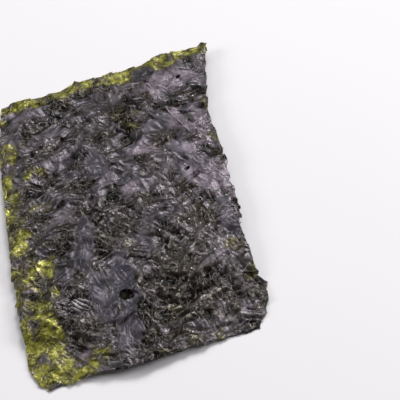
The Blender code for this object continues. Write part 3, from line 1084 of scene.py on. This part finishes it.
@dataclass
class Salt:
    """Grains of table salt: rounded cubes that lie here and there on the wrinkles."""

    ground: Ground
    count: int = 34
    seed: int = 613
    half_side: Pair = (0.00008, 0.00020)
    squareness: float = 0.35
    lean: float = 0.35
    clear: float = 0.00010
    perch: float = 0.6
    area: tuple[Pair, ...] = ((-0.9, 0.95), (-0.95, 0.9))
    rows: int = 6
    columns: int = 12

    def grain(self) -> Array:
        """Points of one superellipsoid: a sphere's sines and cosines, each raised to a power under one."""
        rise = np.linspace(-math.pi / 2, math.pi / 2, self.rows + 1)[1:-1]
        around = np.linspace(0, 2 * math.pi, self.columns, endpoint=False)
        sine_up, cosine_up, sine, cosine = (
            np.sign(wave) * np.abs(wave) ** self.squareness
            for wave in (np.sin(rise), np.cos(rise), np.sin(around), np.cos(around))
        )
        level = cosine_up[:, None]
        rings = [(level * cosine).ravel(), (level * sine).ravel(), np.repeat(sine_up, self.columns)]
        return np.concatenate([np.stack(rings, axis=-1), [[0, 0, -1], [0, 0, 1]]])

    def build(self, material: Material) -> bpy.types.Object:
        """All grains as one mesh, each of its own size, spun and leaning."""
        random = np.random.default_rng(self.seed)
        form = self.ground.form
        x = random.uniform(*self.area[0], self.count) * form.width / 2
        y = random.uniform(*self.area[1], self.count) * form.length / 2
        half = random.uniform(*self.half_side, (self.count, 3))
        grain = self.grain()[None] * half[:, None]
        spin = random.uniform(0, math.pi, self.count)[:, None]
        lean = random.normal(0, self.lean, self.count)[:, None]
        gx, gy = turned(0.0, 0.0, spin, grain[..., 0], grain[..., 1])
        gx, gz = turned(0.0, 0.0, lean, gx, grain[..., 2])
        place_x, place_y = self.ground.cut(x, y)
        height = self.ground.height(place_x, place_y, Face.UPPER, 1.0) + self.clear + self.perch * half[:, 2]
        points = self.ground.world(place_x[:, None] + gx, place_y[:, None] + gy, height[:, None] + gz)
        triangles = repeated(tube_triangles(self.rows - 1, self.columns), self.count, points.shape[1])
        return Surface(points.reshape(-1, 3), triangles).to_object("salt_grains", material, sharp=40.0)


Colour = tuple[float, float, float]
Socket = bpy.types.NodeSocket
WHITE: Colour = (1.0, 1.0, 1.0)
MIX_FACTOR, MIX_A, MIX_B, MIX_RESULT = 0, 6, 7, 2
COLOURS = ("dark", "film", "pale_film_and_sheen", "dull", "deep_green", "green", "bright_green", "rim")
SHARES = ("thin", "film", "tone", "rim", "high", "dull", "pale")


@dataclass
class Graph:
    """A shader tree with short ways to add, set and link its nodes."""

    tree: NodeTree

    def node(self, kind: str, inputs: dict[str, object] | None = None, **settings: object) -> bpy.types.Node:
        """Adds a node.

        Args:
            kind: the node's type, without "ShaderNode".
            inputs: for each input by name, a socket to link or a value to set.
            settings: the node's own properties.

        Returns:
            The node.
        """
        made = self.tree.nodes.new("ShaderNode" + kind)
        for key, value in settings.items():
            setattr(made, key, value)
        for key, value in (inputs or {}).items():
            self.feed(made.inputs[key], value)
        return made

    def feed(self, socket: Socket, value: object) -> None:
        """Links a socket to another, or sets its value; a colour gets its alpha here."""
        if isinstance(value, Socket):
            self.tree.links.new(value, socket)
        elif isinstance(value, tuple) and len(value) == 3 and socket.type == "RGBA":
            socket.default_value = (*value, 1.0)
        else:
            socket.default_value = value

    def math(self, operation: str, *values: object, clamp: bool = False) -> Socket:
        """One Math node, clamped to 0..1 on demand."""
        made = self.node("Math", operation=operation, use_clamp=clamp)
        for socket, value in zip(made.inputs, values):
            self.feed(socket, value)
        return made.outputs[0]

    def times(self, a: object, b: object, clamp: bool = False) -> Socket:
        """a times b."""
        return self.math("MULTIPLY", a, b, clamp=clamp)

    def line(self, value: object, gain: object, offset: object) -> Socket:
        """gain times value plus offset."""
        return self.math("MULTIPLY_ADD", value, gain, offset)

    def ramp(self, value: object, gain: object, offset: object) -> Socket:
        """gain times value plus offset, clamped to 0..1."""
        return self.math("MULTIPLY_ADD", value, gain, offset, clamp=True)

    def off_middle(self, value: object) -> Socket:
        """How far a value is from 0.5, from 0 to 1: 0 where a noise crosses its middle value."""
        return self.math("ABSOLUTE", self.line(value, 2.0, -1.0))

    def mix(self, factor: object, a: object, b: object, blend: str = "MIX") -> Socket:
        """Mixes two colours."""
        made = self.node("Mix", data_type="RGBA", blend_type=blend, clamp_factor=True)
        for index, value in ((MIX_FACTOR, factor), (MIX_A, a), (MIX_B, b)):
            self.feed(made.inputs[index], value)
        return made.outputs[MIX_RESULT]

    def shaded(self, factor: object, colour: object, shade: object) -> Socket:
        """A colour times a grey shade."""
        grey = self.node("CombineColor", {"Red": shade, "Green": shade, "Blue": shade}).outputs[0]
        return self.mix(factor, colour, grey, "MULTIPLY")

    def place(self) -> Socket:
        """Object coordinates, which are the sheet's own metres."""
        return self.node("TexCoord").outputs["Object"]

    def noise(self, vector: object, size: float, detail: float = 2.0, rough: float = 0.55) -> Socket:
        """Noise from 0 to 1 whose features measure about the given size in metres."""
        inputs = {"Vector": vector, "Scale": 1.0 / size, "Detail": detail, "Roughness": rough}
        return self.node("TexNoise", inputs).outputs[0]


Sockets = dict[str, Socket]


def open_group(name: str, inputs: dict[str, str], outputs: dict[str, str]) -> tuple[Graph, Sockets, Sockets]:
    """Starts a shader node group.

    Args:
        name: the group's name.
        inputs: the kind of each input, "Color" or "Float".
        outputs: the kind of each output.

    Returns:
        The graph, and the sockets of each end by name.
    """
    tree = bpy.data.node_groups.new(name, "ShaderNodeTree")
    for way, kinds in (("INPUT", inputs), ("OUTPUT", outputs)):
        for key, kind in kinds.items():
            tree.interface.new_socket(key, in_out=way, socket_type="NodeSocket" + kind)
    start, end = tree.nodes.new("NodeGroupInput"), tree.nodes.new("NodeGroupOutput")
    given, wanted = ({key: start.outputs[key] for key in inputs}, {key: end.inputs[key] for key in outputs})
    return Graph(tree), given, wanted


@dataclass(frozen=True)
class Tint:
    """Colour of laver: dark where it is thick, violet where it is film, brown and matt where it is dull,
    olive to yellow green where it is thin, brightened there by painted light shining through it. A painted
    pale sheen lies on the pale zones, partly the laver's own paler skin. Painted shade darkens it deep in a
    wrinkle and along cracks, and painted highlights make it paler on crests, raised lines and blade rims.
    Noise sizes are in metres, and the two numbers after what a line or a ramp reads are its gain and its
    offset."""

    name: str = "laver_tint"
    broad_size: float = 0.0045
    fine_size: float = 0.0008
    fleck_size: float = 0.0022
    least_fleck: float = 0.15
    tone_gain: float = 0.3
    # The share of colour left at the bottom of a valley, where shade is painted.
    darkest_valley_shade: float = 0.2
    # Painted shade along cracks, on thick and on thin laver.
    crack_shade: float = 0.75
    green_crack_shade: float = 0.6
    # Strength of the painted highlight on crests.
    crest_share: float = 0.5
    # Painted shade: the grey that darkens thin laver in a valley.
    valley_shade: Colour = (0.35, 0.33, 0.3)

    def build(self) -> NodeTree:
        """The node group, with an input for each colour and each share."""
        shares = (*(f"{key}_share" for key in SHARES), "line", "crack")
        kinds = dict.fromkeys(COLOURS, "Color") | dict.fromkeys(shares, "Float")
        graph, given, wanted = open_group(self.name, kinds, {"Color": "Color"})
        thin_share, film_share, tone, rim_share, high, dull_share, pale_share = (
            given[f"{key}_share"] for key in SHARES
        )
        place = graph.place()
        broad = graph.noise(place, self.broad_size)
        fine = graph.noise(place, self.fine_size, 3.0, 0.65)
        film_mix = graph.line(film_share, 0.9, graph.line(broad, 1.4, -0.75))
        laver = graph.mix(film_mix, given["dark"], given["film"])
        # Painted sheen, partly paler skin: the pale film colour where the pale zones reach.
        laver = graph.mix(graph.times(pale_share, graph.ramp(broad, 2.0, -0.2)), laver, given["pale_film_and_sheen"])
        dull = graph.times(dull_share, graph.line(fine, 1.6, 0.2), clamp=True)
        laver = graph.mix(dull, laver, given["dull"])
        # Painted shade: depth is 0 in a wrinkle's valley and 1 on its top, and the colour darkens toward the
        # valley.
        depth = graph.ramp(high, 1.9, -0.2)
        gain = graph.line(tone, self.tone_gain, graph.line(fine, 1.3, 0.2))
        gain = graph.times(gain, graph.line(depth, 1.0 - self.darkest_valley_shade, self.darkest_valley_shade))
        # Painted shade along the sunk cracks.
        gain = graph.times(gain, graph.line(given["crack"], -self.crack_shade, 1.0))
        laver = graph.shaded(1.0, laver, gain)

        # Thin laver: olive green, brightened toward yellow green by painted light shining through it.
        fleck = graph.line(graph.noise(place, self.fleck_size, 2.5, 0.55), 3.4, -1.02)
        fleck = graph.line(tone, self.tone_gain, fleck)
        thin = graph.times(thin_share, graph.math("MAXIMUM", fleck, self.least_fleck))
        colour = graph.mix(graph.times(thin, 3.0), laver, given["deep_green"])
        colour = graph.mix(graph.line(thin, 2.4, -0.95), colour, given["green"])
        colour = graph.mix(graph.line(thin, 3.0, -2.2), colour, given["bright_green"])
        # Random mottling on thin laver, and painted shade along the cracks.
        mottle_and_crack_shade = graph.line(given["crack"], -self.green_crack_shade, 1.0)
        mottle_and_crack_shade = graph.times(mottle_and_crack_shade, graph.line(fine, 3.0, -0.5))
        colour = graph.shaded(graph.times(thin, 3.0, clamp=True), colour, mottle_and_crack_shade)

        # Painted shade: thin laver darkens further in the valleys.
        shadow = graph.mix(graph.ramp(thin, -3.0, 1.0), self.valley_shade, WHITE)
        colour = graph.mix(1.0, colour, graph.mix(depth, shadow, WHITE), "MULTIPLY")
        # Painted highlight: paler colour on wrinkle crests, on raised lines and on blade rims.
        crest_highlight = graph.math("MAXIMUM", graph.ramp(high, 4.0, -2.7), given["line"])
        crest_highlight = graph.times(graph.times(crest_highlight, self.crest_share), graph.ramp(fine, 3.0, -1.0))
        pale = graph.math("MAXIMUM", graph.times(rim_share, graph.ramp(fine, 2.0, -0.5)), crest_highlight)
        rim_and_crest_highlight = graph.mix(graph.times(thin, 1.2, clamp=True), given["rim"], given["bright_green"])
        graph.feed(wanted["Color"], graph.mix(pale, colour, rim_and_crest_highlight))
        return graph.tree


@dataclass(frozen=True)
class Grain:
    """A fine skin: raised curved lines, sunk cracks and small grain, as a height from 0 to 1 and two masks,
    with which the tint paints highlights on the lines and shade in the cracks.

    Each network of lines is where a noise crosses its middle value, on places that another noise has moved.
    """

    name: str = "fine_grain"
    drift_size: float = 0.0025
    drift: float = 0.0022
    bundle_size: float = 0.006
    line_size: float = 0.00055
    line_turns: tuple[Pair, ...] = ((0.6, 0.34), (2.2, 0.38))
    line_sharpness: float = 5.0
    crack_size: float = 0.0021
    crack_sharpness: float = 14.0
    fine_size: float = 0.00030
    calm_gain: float = 0.8

    def build(self) -> NodeTree:
        """The node group."""
        outputs = dict.fromkeys(("height", "line", "crack"), "Float")
        graph, given, wanted = open_group(self.name, {"fine_share": "Float", "calm": "Float"}, outputs)
        place = graph.place()
        inputs = {"Vector": place, "Scale": 1.0 / self.drift_size, "Detail": 1.0}
        drift = {0: graph.node("TexNoise", inputs).outputs[1], 1: (self.drift,) * 3}
        drift = graph.node("VectorMath", drift, operation="MULTIPLY").outputs[0]
        moved = graph.node("VectorMath", {0: place, 1: drift}, operation="ADD").outputs[0]
        lines = []
        for turn, stretch in self.line_turns:
            inputs = {"Vector": moved, "Rotation": (0.0, 0.0, turn), "Scale": (1.0, stretch, 1.0)}
            streak = graph.noise(graph.node("Mapping", inputs).outputs[0], self.line_size, 1.5, 0.5)
            lines.append(graph.ramp(graph.off_middle(streak), -self.line_sharpness, 1.0))
        side = graph.ramp(graph.noise(place, self.bundle_size, 1.0), 6.0, -2.5)
        back = graph.math("SUBTRACT", 1.0, side)
        line = graph.line(lines[0], side, graph.times(lines[1], back))
        line = graph.times(line, graph.line(given["calm"], -self.calm_gain, 1.0))
        crack = graph.off_middle(graph.noise(moved, self.crack_size, 2.5))
        crack = graph.ramp(crack, -self.crack_sharpness, 1.0)
        fine = graph.noise(place, self.fine_size, 2.0, 0.6)
        height = graph.line(fine, given["fine_share"], graph.math("SUBTRACT", line, crack))
        for key, value in (("height", height), ("line", line), ("crack", crack)):
            graph.feed(wanted[key], value)
        return graph.tree


def new_material(name: str) -> tuple[Material, Graph, bpy.types.NodeInputs]:
    """A material with its graph and the inputs of its Principled shader."""
    made = bpy.data.materials.new(name)
    made.use_nodes = True
    return made, Graph(made.node_tree), made.node_tree.nodes["Principled BSDF"].inputs


@dataclass(frozen=True)
class LaverFinish:
    """Roasted laver: near black and satin, violet on film, green where thin, partly by painted light shining
    through it, with painted highlights on its rims. A dark metallic share takes the gloss away: deep in a
    wrinkle and in a pit as painted shade, and on dull laver as its own matt finish."""

    name: str
    dark: Colour = (0.013, 0.011, 0.005)
    film: Colour = (0.035, 0.037, 0.052)
    # Colour of the painted sheen on the pale zones, partly the laver's own paler skin.
    pale_film_and_sheen: Colour = (0.245, 0.200, 0.242)
    dull: Colour = (0.018, 0.014, 0.004)
    deep_green: Colour = (0.050, 0.046, 0.009)
    # green and bright_green: the thin laver's own colour, brightened by painted light shining through it.
    green: Colour = (0.136, 0.134, 0.006)
    bright_green: Colour = (0.325, 0.316, 0.048)
    # rim: colour of the painted highlight on rims and crests.
    rim: Colour = (0.190, 0.180, 0.165)
    rough_felt: float = 0.25
    rough_film: float = 0.41
    rough_dull: float = 0.04
    rough_low: float = 0.05
    rough_stray: float = 0.12
    rough_size: float = 0.0015
    gloss: float = 0.71
    sheen_tint: Colour = (0.98, 0.84, 0.98)
    # How much dark metallic share paints shade deep in a wrinkle.
    valley_shade_metallic: float = 0.95
    thin_swallow: float = 0.34
    bump: float = 0.00002
    fine_share: float = 0.1

    def material(self, tint: NodeTree, grain: NodeTree) -> Material:
        """The finish as a material.

        Args:
            tint: the group that colours laver.
            grain: the group that gives its fine height.

        Returns:
            The material.
        """
        made, graph, shader = new_material(self.name)
        share = {
            key: graph.node("Attribute", attribute_name=key, attribute_type="GEOMETRY").outputs["Fac"]
            for key in SHARES
        }
        skin = graph.node("Group", node_tree=grain)
        graph.feed(skin.inputs["fine_share"], self.fine_share)
        graph.feed(skin.inputs["calm"], share["film"])
        fed = {key: getattr(self, key) for key in COLOURS} | {f"{key}_share": share[key] for key in SHARES}
        fed |= {key: skin.outputs[key] for key in ("line", "crack")}
        graph.feed(shader["Base Color"], graph.node("Group", fed, node_tree=tint).outputs["Color"])
        graph.feed(shader["Specular IOR Level"], self.gloss)
        graph.feed(shader["Specular Tint"], self.sheen_tint)

        # low is 1 deep in a wrinkle, where the finish paints shade.
        low = graph.ramp(share["high"], -3.0, 1.4)
        rough = graph.line(share["film"], self.rough_film - self.rough_felt, self.rough_felt)
        rough = graph.line(share["dull"], self.rough_dull, rough)
        rough = graph.math("SUBTRACT", graph.line(low, self.rough_low, rough), self.rough_stray / 2)
        rough = graph.ramp(graph.noise(graph.place(), self.rough_size), self.rough_stray, rough)
        graph.feed(shader["Roughness"], rough)

        # Painted shade: the dark metallic share takes the gloss out of wrinkle valleys and pits; on dull
        # laver it stands for its matt finish.
        valley_shade_and_matt = graph.times(low, self.valley_shade_metallic)
        valley_shade_and_matt = graph.math("MAXIMUM", graph.ramp(share["dull"], 1.1, -0.3), valley_shade_and_matt)
        valley_shade_and_matt = graph.times(valley_shade_and_matt, graph.ramp(share["thin"], -1.0, 1.0))
        graph.feed(shader["Metallic"], graph.line(share["thin"], self.thin_swallow, valley_shade_and_matt))
        bump = graph.node("Bump", {"Distance": self.bump, "Strength": 1.0, "Height": skin.outputs["height"]})
        graph.feed(shader["Normal"], bump.outputs["Normal"])
        return made


@dataclass(frozen=True)
class SaltFinish:
    """White salt, slightly clouded."""

    name: str = "salt"
    colour: Colour = (0.86, 0.85, 0.82)
    cloud_shade: float = 0.75
    cloud_size: float = 0.0002
    roughness: float = 0.22
    bump: float = 0.00002
    fine_share: float = 0.3

    def material(self, grain: NodeTree) -> Material:
        """The finish as a material."""
        made, graph, shader = new_material(self.name)
        cloud = tuple(self.cloud_shade * c for c in self.colour)
        cloud = graph.mix(graph.noise(graph.place(), self.cloud_size), cloud, self.colour)
        graph.feed(shader["Base Color"], cloud)
        graph.feed(shader["Roughness"], self.roughness)
        skin = graph.node("Group", node_tree=grain)
        graph.feed(skin.inputs["fine_share"], self.fine_share)
        bump = graph.node("Bump", {"Distance": self.bump, "Height": skin.outputs["height"]})
        graph.feed(shader["Normal"], bump.outputs["Normal"])
        return made


@dataclass(frozen=True)
class Lamp:
    """A square soft light that faces the sheet: its place, its side in metres and its radiance."""

    name: str
    place: tuple[float, float, float]
    side: float
    radiance: float


@dataclass
class Studio:
    """A pale floor, a dim room, soft lights round the sheet, and the camera. Lengths are in metres, angles
    in radians, and the lens and the sensor in mm."""

    floor_colour: Colour = (0.890, 0.867, 0.890)
    floor_shade: float = 0.985
    floor_cloud: float = 0.05
    floor_roughness: float = 0.6
    floor_gloss: float = 0.2
    floor_half_side: float = 1.2
    room: float = 0.09
    room_colour: Colour = (1.0, 0.975, 1.0)
    lamps: tuple[Lamp, ...] = (
        Lamp("sheen", (-0.06, 0.62, 0.78), 0.60, 1.5),
        Lamp("key", (0.34, 0.52, 0.71), 0.32, 15.6),
        Lamp("right_side", (0.85, -0.10, 0.52), 0.46, 7.2),
        Lamp("left_side", (-0.80, 0.20, 0.56), 0.46, 4.6),
    )
    azimuth: float = 0.0928
    elevation: float = 0.9018
    roll: float = -0.3484
    distance: float = 0.2817
    target: tuple[float, float, float] = (0.0177, -0.0040, 0.0)
    lens: float = 108.0
    sensor: float = 36.0
    nearest: float = 0.01

    def build(self) -> None:
        """Makes the floor, the lights and the camera."""
        self.floor()
        scene = bpy.context.scene
        scene.view_settings.view_transform = "Standard"
        world = bpy.data.worlds.new("room")
        world.use_nodes = True
        sky = world.node_tree.nodes["Background"]
        sky.inputs["Color"].default_value = (*self.room_colour, 1.0)
        sky.inputs["Strength"].default_value = self.room
        scene.world = world
        for lamp in self.lamps:
            self.light(lamp)
        self.camera()

    def floor(self) -> None:
        """A flat square under the sheet."""
        side = self.floor_half_side
        mesh = bpy.data.meshes.new("floor")
        corners = [(-side, -side, 0.0), (side, -side, 0.0), (side, side, 0.0), (-side, side, 0.0)]
        mesh.from_pydata(corners, [], [(0, 1, 2, 3)])
        made, graph, shader = new_material("pale_table")
        darker = tuple(self.floor_shade * c for c in self.floor_colour)
        cloud = graph.noise(graph.place(), self.floor_cloud)
        graph.feed(shader["Base Color"], graph.mix(cloud, darker, self.floor_colour))
        graph.feed(shader["Roughness"], self.floor_roughness)
        graph.feed(shader["Specular IOR Level"], self.floor_gloss)
        mesh.materials.append(made)
        floor = bpy.data.objects.new("floor", mesh)
        bpy.context.scene.collection.objects.link(floor)

    def light(self, lamp: Lamp) -> None:
        """Makes one lamp. A flat light of radiance L and area A gives off a power of pi L A."""
        data = bpy.data.lights.new(lamp.name, "AREA")
        data.shape, data.size, data.energy = "SQUARE", lamp.side, math.pi * lamp.radiance * lamp.side**2
        made = bpy.data.objects.new(lamp.name, data)
        made.location = lamp.place
        made.rotation_euler = (-Vector(lamp.place)).to_track_quat("-Z", "Y").to_euler()
        bpy.context.scene.collection.objects.link(made)

    def camera(self) -> None:
        """Looks down on the sheet from the front, rolled to the left."""
        level = math.cos(self.elevation)
        back = Vector((
            math.sin(self.azimuth) * level, -math.cos(self.azimuth) * level, math.sin(self.elevation),
        ))
        right = (-back).cross(Vector((0.0, 0.0, 1.0))).normalized()
        up = right.cross(-back)
        rolled_right = math.cos(self.roll) * right + math.sin(self.roll) * up
        rolled_up = math.cos(self.roll) * up - math.sin(self.roll) * right
        data = bpy.data.cameras.new("camera")
        data.lens, data.sensor_width, data.clip_start = self.lens, self.sensor, self.nearest
        camera = bpy.data.objects.new("camera", data)
        matrix = Matrix((rolled_right, rolled_up, back)).transposed().to_4x4()
        matrix.translation = Vector(self.target) + self.distance * back
        camera.matrix_world = matrix
        bpy.context.scene.collection.objects.link(camera)
        bpy.context.scene.camera = camera


FELT = LaverFinish("laver_felt")
BLADE = LaverFinish("laver_blade", dark=(0.014, 0.012, 0.007), film=(0.037, 0.039, 0.054), rough_felt=0.24)
# Painted highlight: pale colours for the pleats, which stand for glints along the folds.
PLEAT_GLINT = LaverFinish(
    "laver_pleat_glint", dark=(0.50, 0.47, 0.49), film=(0.56, 0.53, 0.55), rim=(0.72, 0.69, 0.70), rough_felt=0.3,
)
# Painted highlight: the threads' paler colours and pale rims stand for glints along rolled edges.
THREAD_HIGHLIGHT = LaverFinish(
    "laver_thread_highlight", dark=(0.050, 0.046, 0.046), film=(0.070, 0.060, 0.070), rim=(0.24, 0.23, 0.20),
    bump=0.00001,
)

# Rows of films: x, y, half length, half width in mm, turn in degrees, how smooth. The broad ones are blades
# too, and how thin each is comes last.
BROAD_FILMS = (
    (-2.5, -22, 7.5, 4.2, 80, 0.95, 0), (-2.4, -33, 8.6, 3.8, 82, 0.95, 0),
    (-9.8, -9, 9.5, 3.2, 86, 0.9, 0.05), (-7.2, -26, 9.5, 3, 96, 0.9, 0.05), (-3.4, 12, 8, 3.2, 106, 0.9, 0),
    (19.4, 5, 11, 4.2, 108, 0.85, 0),
)
FAINT_FILMS = (
    (24, -11.5, 6.8, 2.8, 106, 0.9), (-12, 29, 7, 2.8, 18, 0.7), (18, 36.5, 12, 6.5, 150, 0.7),
    (12, 19.5, 7, 3, 35, 0.7), (18.3, -23.8, 6.2, 1.5, 24, 0.6), (7.5, 4, 6.5, 3.4, 60, 0.6),
    (-15, -15, 6, 3, 70, 0.6), (17, -39, 8.5, 3.2, 170, 0.6), (-17.5, 36.5, 6, 3, 165, 0.6),
    (-2, 34, 6, 3.6, 20, 0.5), (25, 24, 4.5, 2.4, 96, 0.6), (4.5, -13.5, 5.5, 2.6, 120, 0.5),
)

# Rows of pleats, thin strips on the folds whose pale colour is a painted highlight: x, y, half length, half
# width in mm, turn in degrees.
PLEAT_GLINTS = (
    (-13.9, -26.3, 1.5, 0.20, 140), (-13.2, -25.7, 2.3, 0.30, 138), (-12.4, -25.1, 2.4, 0.28, 140),
    (-11.8, -24.3, 1.6, 0.20, 144), (-20, 23.9, 1.1, 0.18, 15), (-19.2, 21.6, 0.9, 0.16, 160),
    (16.8, 6.8, 1.6, 0.18, 128), (16.2, 8, 1.3, 0.16, 134), (5.8, -20, 1.5, 0.17, 140),
    (-4.5, 18.5, 1.5, 0.18, 140), (21.5, 36, 1.8, 0.17, 160), (9.5, 31, 2, 0.18, 150),
    (10.2, 15, 1.7, 0.17, 118), (12.7, 33.5, 2.3, 0.16, 116), (14.7, 29.2, 2.7, 0.18, 112),
    (17.4, 22.4, 2.9, 0.18, 115), (19.5, 18.5, 2.5, 0.17, 112), (20.9, 14.9, 1.9, 0.16, 117),
    (8.6, 37.3, 1.9, 0.17, 170), (23.5, 30.3, 2.3, 0.18, 162), (15.6, 25.9, 1.6, 0.14, 118),
)
PLEAT_LOOKS = (0.5, 0.0)


def dress() -> None:
    """Builds the sheet's pieces in order, then the studio."""
    tint, grain = Tint().build(), Grain().build()
    felt_looks, blade, pleat_glint, thread = (f.material(tint, grain) for f in (FELT, BLADE, PLEAT_GLINT, THREAD_HIGHLIGHT))
    films = patches_mm(*((*row[:5], row[5] / MM) for row in BROAD_FILMS + FAINT_FILMS))
    ground = Ground(zones=Zones(film=films))
    felt = Felt(ground).build(felt_looks)
    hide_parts(CAD_NODE)
    PlacedBlades(
        name="broad_films", ground=ground, seed=701, rows=BROAD_FILMS, rings=40, spokes=160,
        lift=(0.00002, 0.00008), tilt=1.2, bend=0.12, follow=0.9, streak=0.00005, raggedness=0.14,
    ).build(blade)
    PlacedBlades(
        name="pleat_glints", ground=ground, seed=763, rows=tuple(row + PLEAT_LOOKS for row in PLEAT_GLINTS),
        rings=6, spokes=28, lift=(0.00034, 0.00046), tilt=0.5, bend=0.08, follow=0.5, streak=0.0,
        raggedness=0.06, sink=0.00010, lip=0.0, dome=0.00014, stand=0.0004,
    ).build(pleat_glint)
    BladeLayer(
        name="broad_blades", ground=ground, count=24, seed=711, half_length=(0.0030, 0.0065),
        slenderness=(0.25, 0.5), rings=24, spokes=72, lift=(0.00004, 0.00012), tilt=2.2, follow=1.0,
        film=(0.0, 0.5),
    ).build(blade)
    BladeLayer(
        name="middle_blades", ground=ground, count=45, seed=723, half_length=(0.0018, 0.0045),
        slenderness=(0.22, 0.5), rings=15, spokes=48, lift=(0.0, 0.00008), tilt=2.5, follow=1.0,
    ).build(blade)
    BladeLayer(
        name="small_flakes", ground=ground, count=420, seed=733, half_length=(0.0005, 0.0014),
        slenderness=(0.2, 0.7), rings=2, spokes=8, lift=(0.00002, 0.00012), tilt=9.0, raggedness=0.2,
        follow=1.0, spread=Spread.DULL,
    ).build(blade)
    BladeLayer(
        name="edge_fringe", ground=ground, count=420, seed=743, half_length=(0.0007, 0.0026),
        slenderness=(0.2, 0.6), rings=2, spokes=9, lift=(0.0, 0.00008), tilt=6.0, spread=Spread.EDGE,
        thin_gain=1.6,
    ).build(blade)
    BladeLayer(
        name="underside_blades", ground=ground, count=90, seed=751, half_length=(0.0020, 0.0060),
        slenderness=(0.22, 0.55), rings=5, spokes=20, lift=(0.0, 0.00008), tilt=2.0, face=Face.LOWER,
    ).build(blade)
    Veins(ground).build(thread)
    Salt(ground).build(SaltFinish().material(grain))
    Studio().build()


def main() -> None:
    """Dresses the sheet."""
    logging.basicConfig(level=logging.INFO, format="%(name)s: %(message)s")
    dress()
    bpy.context.view_layer.update()


if __name__ == "__main__":
    main()
